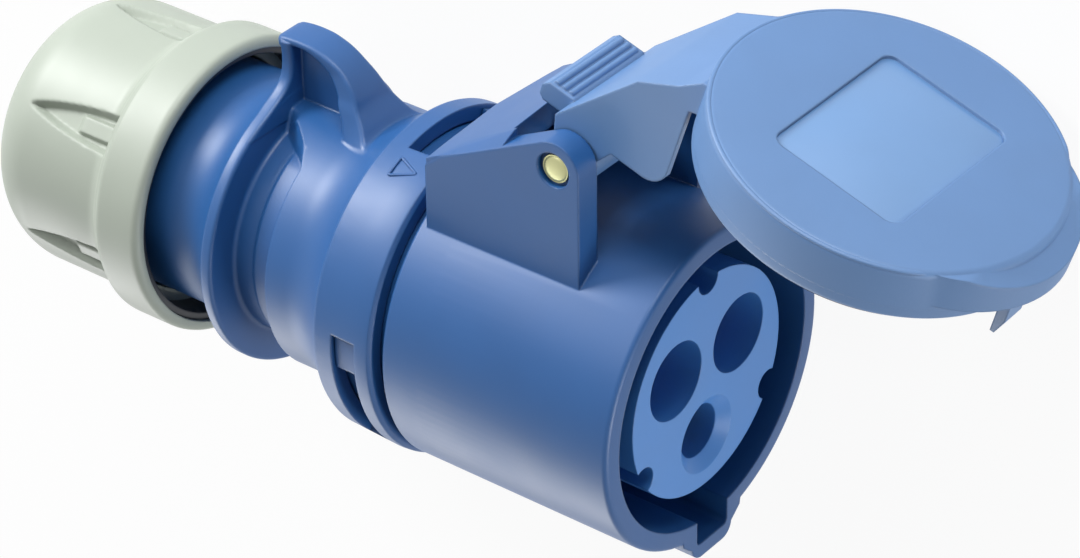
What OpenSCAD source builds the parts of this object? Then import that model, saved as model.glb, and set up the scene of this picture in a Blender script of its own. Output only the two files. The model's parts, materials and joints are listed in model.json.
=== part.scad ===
// Industrial pin and sleeve connector, 16 A, two poles and earth, with a hinged spring lid.
// +X runs along the connector out of its mating face, +Y points to the hinge of the lid,
// and +Z is up when the connector lies on its side. The origin is the centre of the contacts' face.
// The modules measure along X from the rim of the sleeve, and placed() moves them to the origin.

/* [Front sleeve] */
// Outside radius of the front sleeve
sleeve_r = 27.2; // [26:0.1:30]
// Wall of the front sleeve
sleeve_wall = 3.2; // [2.4:0.1:3.6]
// Depth of the ring space that takes the shroud of the plug
shroud_depth = 36; // [30:1:38]
// Length of the sleeve behind the ring space, as far as the groove in front of the collar
sleeve_rear = 6.8; // [6:0.2:9]
// Rounding of the rim's outer edge
rim_round = 0.9; // [0.3:0.1:1.5]
// Width of the keyway in the sleeve
keyway_w = 8; // [6:0.5:9]
// Depth of the keyway beyond the bore of the sleeve
keyway_depth = 4.2; // [3:0.1:5]
// Wall around the keyway
keyway_wall = 2.5; // [2:0.1:3]

/* [Contacts] */
// Radius of the contact carrier's front
carrier_r = 18.85; // [18:0.05:19.5]
// How far the carrier's face lies behind the rim
carrier_inset = 1.35; // [1:0.05:4]
// Radius on which the line and neutral contacts lie
pole_pitch_r = 9.25; // [9:0.05:9.6]
// Radius on which the earth contact lies
earth_pitch_r = 9.7; // [9.2:0.05:10]
// Bore radius of the line and neutral sockets, for pins of 5 mm
pole_bore_r = 2.55; // [2.5:0.01:2.7]
// Bore radius of the earth socket, for a pin of 7 mm
earth_bore_r = 3.55; // [3.5:0.01:3.7]
// Depth of the socket bores
socket_depth = 25; // [20:1:28]
// Radius of the line and neutral holes in the carrier's face
pole_hole_r = 6.5; // [6:0.1:6.6]
// Depth of those wide holes
pole_hole_depth = 9.7; // [8:0.1:12]
// Radius of the earth hole's countersink
earth_sink_r = 6.5; // [5:0.1:6.8]
// Radius of the earth hole
earth_hole_r = 4.5; // [4.2:0.1:5]
// Radius of the round notches in the carrier's edge
notch_r = 2.5; // [2:0.1:3]

/* [Hinge] */
// Distance of the hinge pin behind the rim
pin_back = 17.2; // [16:0.1:19]
// Height of the hinge pin above the sleeve
pin_rise = 13.1; // [12:0.1:15]
// Radius of the hinge pin
pin_r = 2.3; // [1.8:0.05:2.6]
// Half the width over the two hinge ears
ear_outer = 17; // [16:0.1:19]
// Thickness of each ear
ear_t = 4.5; // [3.5:0.1:5]
// How far the hinge block ends in front of the sleeve's rear edge
block_margin = 1.5; // [1:0.1:4]
// Length of the roof's open front, from the pin to the roof's edge
roof_gap = 10.6; // [10.4:0.1:12]
// Thickness of the roof and of the block's rear wall
roof_t = 2.4; // [1.8:0.1:3]
// Height of the roof's crown along its middle
crown = 0.7; // [0.3:0.1:1.5]

/* [Lid] */
// How far the lid stands open from its closed place, in degrees
lid_open = 72.4; // [60:0.2:80]
// How much smaller the lid's disc is than the sleeve, in radius
lid_margin = 0.4; // [0:0.1:1]
// Height of the closed lid's face in front of the rim
lid_face = 10.8; // [9.5:0.1:12]
// Height of the lid's skirt
lid_depth = 7.3; // [7:0.1:8.4]
// Thickness of the lid's skirt
lid_wall = 1.9; // [1.6:0.1:2.4]
// Thickness of the lid's top plate
lid_top = 2.6; // [2:0.1:3]
// Thickness of the walls of the hinge arm
arm_wall = 2.2; // [1.6:0.1:2.6]
// Width of the label panel in the lid, across the hinge
panel_w = 29.2; // [24:0.2:32]
// Height of the label panel
panel_h = 21.8; // [18:0.2:24]
// Depth of the label panel
panel_depth = 0.5; // [0.3:0.1:0.8]
// Reach of the finger lip past the disc
lip_reach = 3.4; // [2:0.1:5]
// Half the width of the ribbed thumb bar
bar_half = 8.6; // [7:0.1:10]
// Height of the thumb bar above the hinge pin
bar_up = 10.2; // [9.4:0.1:10.4]

/* [Rear housing] */
// How far the locking collar stands above the front sleeve
collar_step = 0.5; // [0.3:0.1:1.5]
// Wall of the collar
collar_wall = 2.7; // [2.4:0.1:3.4]
// Width of the groove between the front sleeve and the collar
collar_gap = 1.8; // [1:0.1:2.5]
// Length of the collar
collar_len = 11.8; // [11:0.1:14]
// How far the barrel lies below the collar
barrel_drop = 5.3; // [4.5:0.1:6]
// Length of the barrel behind the collar, flare included
barrel_len = 14.9; // [14:0.1:18]
// Width of the windows in the collar
window_w = 4.7; // [4:0.1:5]
// Angle that each window spans
window_angle = 52; // [44:1:58]
// Radius of the thin flange behind the grip groove
flange_r = 24.9; // [24:0.1:26]
// Length of the grip groove, from the barrel to the flange
grip_len = 8.7; // [8:0.1:12]
// Thickness of the flange
flange_t = 2.2; // [1.6:0.1:3]
// Radius of the floor of the grip groove
groove_r = 19.9; // [19.6:0.1:21]
// Radius of the neck inside the gland nut
neck_r = 19.9; // [19:0.1:20]
// Wall of the barrel
housing_wall = 2.8; // [2:0.1:3.4]
// Height of the thumb hook above the barrel
hook_rise = 11.7; // [10:0.1:14]
// Half the width of the hook at its tip
hook_half = 2.9; // [2.2:0.1:4]
// Thickness of the web inside the hook
hook_web = 1.8; // [1.2:0.1:2.4]

/* [Gland nut] */
// Length of bare neck between the flange and the mouth of the nut
nut_gap = 12.2; // [10:0.1:14]
// Length of the nut
nut_len = 38; // [36:0.2:42]
// Wall of the nut's fluted body
nut_wall = 2.6; // [2.4:0.1:4]
// How far the nut's smooth skirt stands above its body
skirt_step = 2.5; // [2:0.1:3.5]
// How far the neck reaches into the nut
thread_len = 13.6; // [11:0.1:16]
// Length of the nut's skirt
skirt_len = 9.4; // [8:0.1:11]
// Radius of the dome that closes the nut
dome_r = 10.6; // [9:0.2:12]
// Number of flutes round the nut
flutes = 6; // [4:1:8]
// Width of each flute at the skirt
flute_w = 6.6; // [5:0.1:8]
// Depth of each flute
flute_depth = 1.6; // [1:0.1:2]
// Radius of the cable hole in the nut
cable_hole_r = 8.6; // [7:0.1:9.4]
// Bore radius of the rubber cable seal
seal_bore_r = 6.5; // [5:0.1:7]

/* [Hidden] */
$fn = 96;

over = 0.01;           // small overlap that joins features of one solid
fit = 0.2;             // clearance between pieces that are pushed together
run = 0.4;             // clearance between pieces that turn
pin_gap = 0.03;        // radial clearance of the hinge pin

// Places along the connector, behind the rim
sleeve_len = shroud_depth + sleeve_rear;
collar_front = sleeve_len + collar_gap;
collar_back = collar_front + collar_len;
barrel_back = collar_back + barrel_len;
flange_back = barrel_back + grip_len;       // front face of the flange
flange_end = flange_back + flange_t;
nut_mouth = flange_end + nut_gap;
nut_back = nut_mouth + nut_len;
neck_back = nut_mouth + thread_len;

// Radii that follow from one another
sleeve_in = sleeve_r - sleeve_wall;
collar_r = sleeve_r + collar_step;
collar_bore_r = collar_r - collar_wall;
barrel_r = collar_r - barrel_drop;
barrel_bore_r = barrel_r - housing_wall;
neck_bore_r = neck_r - housing_wall - 1.2;
thread_r = neck_r + run;
nut_r = thread_r + nut_wall;
skirt_r = nut_r + skirt_step;

// Front housing
floor_t = 4;                                // wall that carries the contact carrier
spigot_r = collar_bore_r - run;             // outside radius of the bayonet spigot
spigot_wall = 2.2;
spigot_back = collar_front + 10.4;          // rear end of the spigot
lug_reach = 2.3;                            // height of the bayonet lugs
lug_angle = 12;
window_first = 84;                          // angle at which the first window starts
window_count = 3;
window_back = collar_front + 7.7;           // rear edge of the windows
keyway_reach = sleeve_in + keyway_depth;
bump_reach = keyway_reach + keyway_wall;

// Hinge block, in the plane of the axis and the hinge
pin_up = sleeve_r + pin_rise;
pin = [-pin_back, pin_up];
ear_inner = ear_outer - ear_t;
ear_round = pin_r + 2.3;                    // radius of the ears round the pin
block_x0 = block_margin - sleeve_len;
block_x1 = -pin_back + ear_round;
roof_x1 = -pin_back - roof_gap;
knee = [block_x0 + 3, pin_up - 5.5];        // where the roof's slope begins
roof_slope = 25.2;                          // slope of the ears
deck_slope = 29.6;                          // slope of the roof between them
pin_len = 2 * ear_outer - 1.2;
sink_r = pin_r + 0.6;                       // recess round each end of the pin
sink_depth = 1.2;

// Contacts
barrel_end = shroud_depth + floor_t + fit;  // where the carrier's barrel meets its base
carrier_step = barrel_end + 3.8;            // rear face of the base's flange
carrier_back = carrier_step + 10;
carrier_part_y = earth_sink_r - earth_pitch_r + 0.8;   // plane between the pole holes and the earth hole
contact_back = carrier_back + 13;           // rear end of the terminals
base_r = spigot_r - spigot_wall - fit;      // radius of the base's flange
tail_r = base_r - 1.7;                      // radius of the base behind its flange
shank_r = 5.0;                              // radius of the contact bodies
tube_r = 4.3;                               // radius of the pole contacts' front tubes
tube_back = carrier_inset + pole_hole_depth + 18.95;
shoulder_r = 5.9;
shoulder_t = 3;
earth_front = 8.5;
plate_t = 2.2;
plate_screw_out = tail_r - 6;               // distance of the plate screws from the axis
screw_x = contact_back - 5;                 // where the terminal screws stand
// each contact: angle round the axis, distance from the axis
CONTACTS = [[60, pole_pitch_r], [-60, pole_pitch_r], [180, earth_pitch_r]];

// Rear housing
flare_len = 10;
flare_rise = barrel_drop - 1.5;
groove_step = barrel_back + 3.2;
neck_flare = 7.8;                           // length of the neck's flare behind the flange
hook_top = barrel_r + hook_rise;

// Gland
mouth_r = skirt_r - 1.9;
liner_t = 1.2;
liner_back = nut_mouth + 7;
collet_r = neck_r - 1.3;
collet_back = nut_back - 8.6;
seal_r = cable_hole_r + 1.6;

// Lid, in its closed place
lid_r = sleeve_r - lid_margin;
lip_r = lid_r - 6.8;
lip_t = 3.5;
lip_drop = 2.5;
bar_t = 3.5;
arm_half = ear_inner - 0.3;                 // half the width of the lid's hinge arm
knuckle_r = pin_r + 2;
spring_half = 5.2;                          // half the width of the spring's place
gasket_w = 2.2;
gasket_clear = 0.35;
fin_w = 5.4;
fin_len = 10.2;
fin_root = lid_face - lid_depth;

function arc(c, r, a0, a1, n = 8) =
    [for (i = [0:n]) let (a = a0 + (a1 - a0) * i / n) [c[0] + r * cos(a), c[1] + r * sin(a)]];

// From the rim of the sleeve to the frame's origin, the centre of the contacts' face
module placed() {
    translate([carrier_inset, 0, 0]) children();
}

// A solid turned about the X axis from a list of [x, radius]
module turned(profile) {
    rotate([0, 90, 0]) rotate_extrude() polygon([for (p = profile) [p[1], p[0]]]);
}

// A cylinder along X between two places
module rod(x0, x1, r) {
    translate([min(x0, x1), 0, 0]) rotate([0, 90, 0]) cylinder(h = abs(x1 - x0), r = r);
}

module tube(x0, x1, r_out, r_in) {
    difference() {
        rod(x0, x1, r_out);
        rod(min(x0, x1) - 1, max(x0, x1) + 1, r_in);
    }
}

// Children moved out to a radius, at an angle measured from +Y towards +Z
module around(angle, radius = 0) {
    rotate([angle, 0, 0]) translate([0, radius, 0]) children();
}

// A slab of the plane of the axis and the hinge, centred on it
module slab(width) {
    translate([0, 0, -width / 2]) linear_extrude(width) children();
}

// A part of a ring about X, between two angles
module ring_part(x0, x1, r_out, r_in, start, angle) {
    translate([x0, 0, 0]) rotate([start, 0, 0]) rotate([0, 90, 0]) rotate([0, 0, 90])
        rotate_extrude(angle = angle) translate([r_in, 0]) square([r_out - r_in, x1 - x0]);
}

// ---------------------------------------------------------------- front housing

module keyway_outline(reach, half, round_r) {
    translate([-half, 0]) square([2 * half, reach - round_r]);
    translate([-(half - round_r), 0]) square([2 * (half - round_r), reach]);
    for (s = [-1, 1]) translate([s * (half - round_r), reach - round_r]) circle(r = round_r);
}

module keyway_bump() {
    half = keyway_w / 2 + keyway_wall - 1.4;
    around(180) rotate([0, -90, 0]) linear_extrude(sleeve_len - 4) {
        keyway_outline(bump_reach, half, 2.4);
        polygon([[-half - 2.6, sleeve_r - 3], [-half - 2.2, sleeve_r - 0.6], [-half + 0.6, bump_reach - 1.7],
                 [half - 0.6, bump_reach - 1.7], [half + 2.2, sleeve_r - 0.6], [half + 2.6, sleeve_r - 3]]);
    }
}

module keyway_cut() {
    around(180) translate([1, 0, 0]) rotate([0, -90, 0]) linear_extrude(shroud_depth + 1)
        keyway_outline(keyway_reach, keyway_w / 2, 1);
}

// Outline of the hinge block seen from the side
module block_outline() {
    polygon(concat([[block_x0, 0], [block_x0, knee[1] - 2.5], knee],
                   arc(pin, ear_round, 90 + roof_slope, 0, 10), [[block_x1, 0]]));
}

// Crowned deck of the roof, steeper than the ears; side strips slope from it down to the ears
module roof_deck() {
    rear = [block_x0, knee[1] - 1.1];
    half = ear_outer - 0.2;
    flat = ear_inner + 0.4;
    intersection() {
        translate([knee[0], knee[1], 0]) rotate([0, 0, roof_slope]) translate([-8, 0, 0]) rotate([0, 90, 0])
            linear_extrude(30) polygon([
                [-half, -3], [-half, 0.1], [-half + 9, 3.8], [half - 9, 3.8], [half, 0.1], [half, -3]]);
        translate([rear[0], rear[1], 0]) rotate([0, 0, deck_slope]) translate([-8, 0, 0]) rotate([0, 90, 0])
            linear_extrude(40) polygon([
                [-half, -6], [-half, -0.3], [-flat, 0], [0, crown], [flat, 0], [half, -0.3], [half, -6]]);
        translate([block_x0 + 0.1, pin_up - 20, -ear_outer])
            cube([roof_x1 + 0.6 - block_x0, 40, 2 * ear_outer]);
    }
}

module hinge_block() {
    difference() {
        union() {
            slab(2 * ear_outer) block_outline();
            roof_deck();
        }
        // open gap between the ears, in front of the roof
        slab(2 * ear_inner) translate([roof_x1, 0]) square([block_x1 - roof_x1 + 1, pin_up + 20]);
        // hollow under the roof
        slab(2 * ear_inner) polygon([
            [block_x0 + roof_t, 0], [block_x0 + roof_t, knee[1] - 4.6], [knee[0] + 1, knee[1] - roof_t + 0.4],
            [roof_x1 + 1, knee[1] + (roof_x1 + 1 - knee[0]) * tan(roof_slope) - roof_t], [roof_x1 + 1, 0]]);
        // bore of the pin, with a recess at each end
        translate([pin[0], pin[1], -ear_outer - 1]) cylinder(h = 2 * ear_outer + 2, r = pin_r + pin_gap);
        for (s = [0, 1]) mirror([0, 0, s]) translate([pin[0], pin[1], ear_outer - sink_depth])
            cylinder(h = sink_depth + 1, r = sink_r);
        // the block stands on the sleeve
        rod(block_x0 - 1, block_x1 + 1, sleeve_r - 1);
    }
}

// Everything of the front moulding, which is then parted at the floor of the ring space
module front_moulding() {
    difference() {
        union() {
            turned(concat([[-sleeve_len, sleeve_in - 6], [-sleeve_len, sleeve_r - 0.5],
                           [-sleeve_len + 0.5, sleeve_r]],
                          arc([-rim_round, sleeve_r - rim_round], rim_round, 90, 0, 5),
                          [[0, sleeve_in - 6]]));
            rod(-sleeve_len + over, -spigot_back, spigot_r);
            intersection() {
                hinge_block();
                rod(block_x0 - 1, block_x1 + 1, 60);
            }
            keyway_bump();
            // bayonet lugs that show in the collar's windows
            for (i = [0:window_count - 1])
                ring_part(-window_back + fit, -window_back + window_w - fit, spigot_r + lug_reach,
                          spigot_r - 1, window_first + 1.2 + i * 360 / window_count, lug_angle);
        }
        // ring space for the plug's shroud
        rod(-shroud_depth, 1, sleeve_in);
        keyway_cut();
        // seat of the contact carrier
        rod(-shroud_depth - floor_t - 1, 1, carrier_r + fit);
        rod(-spigot_back - 1, -shroud_depth - floor_t, spigot_r - spigot_wall);
        // groove of the housing seal
        tube(-spigot_back + 0.5, -spigot_back + 1.9, spigot_r + 1, spigot_r - 1);
    }
}

module front_housing() {
    color("royalblue") placed() intersection() {
        front_moulding();
        rod(-shroud_depth, 1, 70);
    }
}

module spigot() {
    color("royalblue") placed() intersection() {
        front_moulding();
        rod(-spigot_back - 1, -shroud_depth, 70);
    }
}

module housing_seal() {
    r = 0.55;
    color("dimgray") placed() translate([-spigot_back + 1.2, 0, 0]) rotate([0, 90, 0]) rotate_extrude()
        translate([spigot_r - 1 + r, 0]) circle(r = r, $fn = 24);
}

// ---------------------------------------------------------------- contacts

// Barrel of the contact carrier, which is then parted between the pole holes and the earth hole
module carrier_barrel() {
    face = -carrier_inset;
    difference() {
        rod(face, -barrel_end, carrier_r);
        for (i = [0:2]) around(120 * i, carrier_r - 0.2) rod(-shroud_depth + 2, 1, notch_r);
        for (i = [0:1]) around(CONTACTS[i][0], CONTACTS[i][1]) {
            rod(face - pole_hole_depth, 1, pole_hole_r);
            rod(-tube_back, face, tube_r + fit);
            rod(-barrel_end - 1, -tube_back, shank_r + fit);
        }
        around(CONTACTS[2][0], CONTACTS[2][1]) {
            turned([[face - 1.6, 0], [face - 1.6, earth_hole_r], [face, earth_sink_r],
                    [1, earth_sink_r], [1, 0]]);
            rod(-earth_front + fit, face, earth_hole_r);
            rod(-barrel_end - 1, -earth_front + fit, shank_r + fit);
        }
    }
}

module contact_carrier() {
    color("royalblue") placed() intersection() {
        carrier_barrel();
        translate([-barrel_end - 1, carrier_part_y, -30]) cube([barrel_end + 2, 60, 60]);
    }
}

module earth_carrier() {
    color("royalblue") placed() intersection() {
        carrier_barrel();
        translate([-barrel_end - 1, carrier_part_y - 60, -30]) cube([barrel_end + 2, 60, 60]);
    }
}

// Base behind the carrier's barrel, which lies in the spigot and holds the shoulders of the contacts
module carrier_base() {
    color("royalblue") placed() difference() {
        union() {
            rod(-barrel_end, -carrier_step, base_r);
            rod(-carrier_step, -carrier_back, tail_r);
        }
        for (c = CONTACTS) around(c[0], c[1]) {
            rod(-carrier_back - 1, -barrel_end + 1, shank_r + fit);
            rod(-carrier_back - 1, -carrier_back + shoulder_t, shoulder_r + fit);
        }
        for (a = [-120, 120]) around(a, plate_screw_out) rod(-carrier_back - 1, -carrier_step - 0.6, 1.6);
    }
}

module retainer_plate() {
    color("gray") placed() difference() {
        rod(-carrier_back, -carrier_back - plate_t, tail_r);
        for (c = CONTACTS) around(c[0], c[1])
            rod(-carrier_back - plate_t - 1, -carrier_back + 1, shank_r + fit);
        for (a = [-120, 120]) around(a, plate_screw_out)
            rod(-carrier_back - plate_t - 1, -carrier_back + 1, 1.6);
    }
}

module plate_screws() {
    back = -carrier_back - plate_t;
    color("silver") placed() for (a = [-120, 120]) around(a, plate_screw_out) difference() {
        union() {
            rod(back, -carrier_step - 1, 1.5);
            rod(back - 1.8, back, 2.9);
        }
        translate([back - 2.3, -0.4, -4]) cube([1.3, 0.8, 8]);
    }
}

// One socket contact: front tube, body, shoulder and terminal
module contact(front, front_r, bore_r) {
    difference() {
        union() {
            rod(-front, -contact_back, front_r);
            rod(-tube_back - fit, -contact_back, shank_r);
            rod(-carrier_back, -carrier_back + shoulder_t - fit, shoulder_r);
        }
        rod(-front - socket_depth, 1, bore_r);
        // slot that lets the socket spring
        translate([-front - socket_depth * 0.6, -front_r - 1, -0.4])
            cube([socket_depth, 2 * front_r + 2, 0.8]);
        // groove of the spring ring
        tube(-front - 5, -front - 2, front_r + 1, front_r - 0.5);
        // conductor hole and screw hole of the terminal
        rod(-contact_back - 1, -contact_back + 9, 2.6);
        translate([-screw_x, 0, 0]) rotate([-90, 0, 0]) cylinder(h = shank_r + 1, r = 2);
    }
}

module pole_contact(i) {
    around(CONTACTS[i][0], CONTACTS[i][1])
        contact(carrier_inset + pole_hole_depth + fit, tube_r, pole_bore_r);
}

module line_contact() {
    color("goldenrod") placed() pole_contact(0);
}

module neutral_contact() {
    color("goldenrod") placed() pole_contact(1);
}

module earth_contact() {
    color("goldenrod") placed() around(CONTACTS[2][0], CONTACTS[2][1])
        contact(earth_front, shank_r, earth_bore_r);
}

module contact_springs() {
    pole_front = carrier_inset + pole_hole_depth + fit;
    color("silver") placed() for (i = [0:2]) around(CONTACTS[i][0], CONTACTS[i][1]) {
        front = i < 2 ? pole_front : earth_front;
        r = i < 2 ? tube_r : shank_r;
        difference() {
            tube(-front - 4.8, -front - 2.2, r + 0.05, r - 0.45);
            translate([-front - 6, -r - 1, -0.5]) cube([6, r, 1]);
        }
    }
}

module terminal_screws() {
    color("silver") placed() for (c = CONTACTS)
        around(c[0], c[1]) translate([-screw_x, 0, 0]) rotate([-90, 0, 0]) difference() {
            union() {
                translate([0, 0, 2.8]) cylinder(h = shank_r - 2.6, r = 1.95);
                translate([0, 0, shank_r + 0.1]) cylinder(h = 2, r = 2.8);
            }
            translate([-4, -0.4, shank_r + 1.3]) cube([8, 0.8, 2]);
        }
}

// ---------------------------------------------------------------- rear housing

module rear_outside() {
    x_flare = -collar_back - flare_len;
    flare_r = (flare_len * flare_len + flare_rise * flare_rise) / (2 * flare_rise);
    turned(concat(
        [[-neck_back, 0], [-neck_back, neck_r - 0.8], [-neck_back + 0.8, neck_r]],
        [for (i = [0:6]) let (t = i / 6) [-flange_end - neck_flare * (1 - t), neck_r + 3.2 * t * t]],
        [[-flange_end, flange_r - 0.6], [-flange_end + 0.6, flange_r],
         [-flange_back - 0.6, flange_r], [-flange_back, flange_r - 0.6],
         [-flange_back, groove_r], [-flange_back + 1.6, groove_r], [-flange_back + 1.9, groove_r + 1],
         [-flange_back + 2.7, groove_r + 1], [-flange_back + 3, groove_r], [-groove_step, groove_r],
         [-groove_step + 0.4, groove_r + 1.2], [-barrel_back, groove_r + 1.2],
         [-barrel_back, barrel_r - 0.5], [-barrel_back + 0.5, barrel_r]],
        [for (i = [0:6]) let (a = 7 * i) [x_flare + flare_r * sin(a), barrel_r + flare_r * (1 - cos(a))]],
        [[-collar_back, collar_r - 0.8], [-collar_back + 0.8, collar_r - 0.2],
         [-collar_front - 1.6, collar_r + 0.2], [-collar_front - 0.5, collar_r + 0.1],
         [-collar_front, collar_r - 0.5], [-collar_front, 0]]));
}

// Bore of the rear housing: neck, barrel, room for the retainer plate, and the spigot's socket
module rear_bore() {
    chamber = -collar_back - 2.6;
    socket = -spigot_back - run;
    turned([[-neck_back - 1, 0], [-neck_back - 1, neck_bore_r], [-barrel_back - 1.2, neck_bore_r],
            [-barrel_back + 2, barrel_bore_r], [chamber, barrel_bore_r], [chamber, tail_r + 1],
            [socket, tail_r + 1], [socket, collar_bore_r], [-collar_front + 1, collar_bore_r],
            [-collar_front + 1, 0]]);
}

// Top of the barrel that runs back to the flange, under the hook
module barrel_saddle() {
    intersection() {
        rod(-flange_back - over, -barrel_back + 1, barrel_r);
        translate([0, barrel_r / 2, 0]) rotate([-90, 0, 0]) linear_extrude(barrel_r) polygon([
            [-barrel_back + 1, -15], [-barrel_back + 0.2, -15], [-barrel_back - 0.7, -11.6],
            [-barrel_back - 2.1, -10.2], [-flange_back + 2, -7.2], [-flange_back - over, -5.8],
            [-flange_back - over, 5.8], [-flange_back + 2, 7.2], [-barrel_back - 2.1, 10.2],
            [-barrel_back - 0.7, 11.6], [-barrel_back + 0.2, 15], [-barrel_back + 1, 15]]);
    }
}

// Thumb hook: a curved band over a flange-high rear wall, recessed on both sides of a web
module hook() {
    front = -flange_back;
    rear = -flange_end;
    foot = barrel_bore_r + 1;
    outer_r = 13.2;
    outer_c = [front + 2.8, hook_top - outer_r];
    inner_r = 10;
    inner_c = [front + 1.1, hook_top - 1.1 - inner_r];
    intersection() {
        // the band widens from the tip to the foot
        translate([0, foot, 0]) rotate([-90, 0, 0]) linear_extrude(40) polygon([
            [rear - 1, -hook_half], [front + 9, -hook_half - 0.3], [front + 13, -hook_half - 1.2],
            [front + 16, -hook_half - 3], [front + 16, hook_half + 3], [front + 13, hook_half + 1.2],
            [front + 9, hook_half + 0.3], [rear - 1, hook_half]]);
        difference() {
            slab(20) {
                intersection() {
                    translate(outer_c) circle(r = outer_r);
                    translate([rear, foot - 1]) square(40);
                }
                translate([rear, hook_top - 3]) square([6, 3]);
                translate([rear + 0.4, hook_top - 1.4]) circle(r = 1.25, $fn = 32);
                translate([rear, foot - 1]) square([flange_t, hook_top - foot - 0.5]);
            }
            for (s = [0, 1]) mirror([0, 0, s]) translate([0, 0, hook_web / 2]) linear_extrude(20)
                intersection() {
                    translate(inner_c) circle(r = inner_r);
                    translate([front - 0.2, foot - 2]) square(40);
                }
        }
    }
}

module rear_housing() {
    color("royalblue") placed() difference() {
        union() {
            rear_outside();
            barrel_saddle();
            hook();
        }
        rear_bore();
        for (i = [0:window_count - 1])
            ring_part(-window_back, -window_back + window_w, collar_r + 2, spigot_r - 0.5,
                      window_first + i * 360 / window_count, window_angle);
    }
}

// ---------------------------------------------------------------- cable gland

module flute() {
    tip = -nut_back + dome_r - 1;
    root = -nut_mouth - skirt_len - 0.5;
    len = root - tip;
    half = flute_w / 2;
    floor_r = nut_r - flute_depth;
    rotate([90, 0, 0]) mirror([0, 0, 1]) difference() {
        translate([0, 0, floor_r]) linear_extrude(10)
            polygon([[tip, 0], [tip + 0.22 * len, half * 0.55], [tip + 0.49 * len, half * 0.85],
                     [root, half], [root, -half], [tip + 0.49 * len, -half * 0.85],
                     [tip + 0.22 * len, -half * 0.55]]);
        // raised rib along the flute
        translate([0, 0, floor_r - 1]) linear_extrude(1 + flute_depth * 0.6)
            polygon([[root - 0.49 * len, 0], [root - 0.43 * len, half * 0.5], [root + 1, half * 0.55],
                     [root + 1, -half * 0.55], [root - 0.43 * len, -half * 0.5]]);
    }
}

module gland_nut() {
    dome_c = [-nut_back + dome_r, nut_r - dome_r];
    shoulder = -nut_mouth - skirt_len;
    color("honeydew") placed() difference() {
        turned(concat([[-nut_back, cable_hole_r]], arc(dome_c, dome_r, 180, 90, 10),
                      [[shoulder - 3.2, nut_r], [shoulder, skirt_r - 0.3], [shoulder + 1, skirt_r],
                       [-nut_mouth - 1.4, skirt_r], [-nut_mouth - 0.4, skirt_r - 0.5],
                       [-nut_mouth, skirt_r - 1.3], [-nut_mouth, cable_hole_r]]));
        rod(-liner_back, -nut_mouth + 1, mouth_r);
        turned([[-nut_back - 1, 0], [-nut_back - 1, cable_hole_r], [-nut_back + 6, cable_hole_r],
                [-nut_back + 6, cable_hole_r + 2.6], [-neck_back - 3.4, collet_r + run],
                [-neck_back - 1, thread_r],
                [-liner_back + 1, thread_r], [-liner_back + 1, 0]]);
        for (i = [0:flutes - 1]) around(51.6 + i * 360 / flutes) flute();
    }
}

module nut_liner() {
    color("dimgray") placed() tube(-liner_back, -nut_mouth - 0.8, mouth_r, mouth_r - liner_t);
}

module clamp_collet() {
    front = -neck_back - 0.3;
    tip = -collet_back;
    slot = front - tip - 3;
    color("dimgray") placed() difference() {
        turned([[front, seal_r + fit], [front, collet_r - 0.4], [front - 2.2, collet_r - 0.4],
                [front - 3.4, collet_r - 1.6], [tip, cable_hole_r + 2.6 + 0.9], [tip, seal_r + fit]]);
        for (i = [0:7]) around(i * 45) translate([tip - 1, seal_r / 2, -0.8]) cube([slot, collet_r, 1.6]);
    }
}

module cable_seal() {
    color("black") placed() tube(-collet_back + 0.6, -neck_back - 0.8, seal_r, seal_bore_r);
}

// ---------------------------------------------------------------- lid

// Turns what is drawn closed to the open place about the hinge pin
module opened() {
    translate([pin[0], pin[1], 0]) rotate([0, 0, lid_open]) translate([-pin[0], -pin[1], 0]) children();
}

module lid_disc() {
    skirt_x = lid_face - lid_depth;
    difference() {
        union() {
            turned(concat([[skirt_x, 0], [skirt_x, lid_r - 0.3], [skirt_x + 0.3, lid_r]],
                          arc([lid_face - 1.1, lid_r - 1.1], 1.1, 90, 0, 5), [[lid_face, 0]]));
            finger_lip();
        }
        rod(skirt_x - 1, lid_face - lid_top, lid_r - lid_wall);
        // label panel
        translate([lid_face - panel_depth, 0, 0]) rotate([0, 90, 0]) linear_extrude(2) panel_outline();
    }
}

// Lip under the finger, sloping down from the edge of the face
module finger_lip() {
    back = lid_face - lip_t - lip_drop;
    slope = atan(lip_drop / 8);
    difference() {
        translate([0, -(lid_r + lip_reach - lip_r), 0]) rod(back, lid_face - 0.3, lip_r);
        translate([lid_face, 4 - lid_r, 0]) rotate([0, 0, -slope]) translate([0, -40, -40])
            cube([20, 60, 80]);
        translate([back - 1, 12 - lid_r, -40]) cube([20, 80, 80]);
    }
}

module panel_outline() {
    r = 2;
    square([panel_w, panel_h - 2 * r], center = true);
    square([panel_w - 2 * r, panel_h], center = true);
    for (sx = [-1, 1]) for (sy = [-1, 1])
        translate([sx * (panel_w / 2 - r), sy * (panel_h / 2 - r)]) circle(r = r);
}

// Side view of the closed hinge arm
module arm_outline() {
    wing_r = 3.6;
    wing_x = block_x1 + 0.3;
    wing_y = sleeve_r - 2;
    polygon(concat([[lid_face - 1, lid_r - 4.8], [lid_face - 1.4, lid_r - 2.2],
                    [lid_face - 4.5, lid_r + 1.2],
                    [lid_face - 8.4, pin[1] - 6], [pin[0] + 4.8, pin[1] + 4.9],
                    [pin[0] + 1, pin[1] + knuckle_r - 0.3], [pin[0] - 1, pin[1] + 1],
                    [pin[0] - 1, pin[1] - 1], [pin[0] + 1.5, pin[1] - knuckle_r + 0.7],
                    [wing_x, pin[1] - 5.7]],
                   arc([wing_x + wing_r, wing_y + wing_r], wing_r, 180, 270, 6),
                   [[lid_face - lid_depth, wing_y], [lid_face - lid_depth + 1, lid_r - 4.8]]));
}

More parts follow.
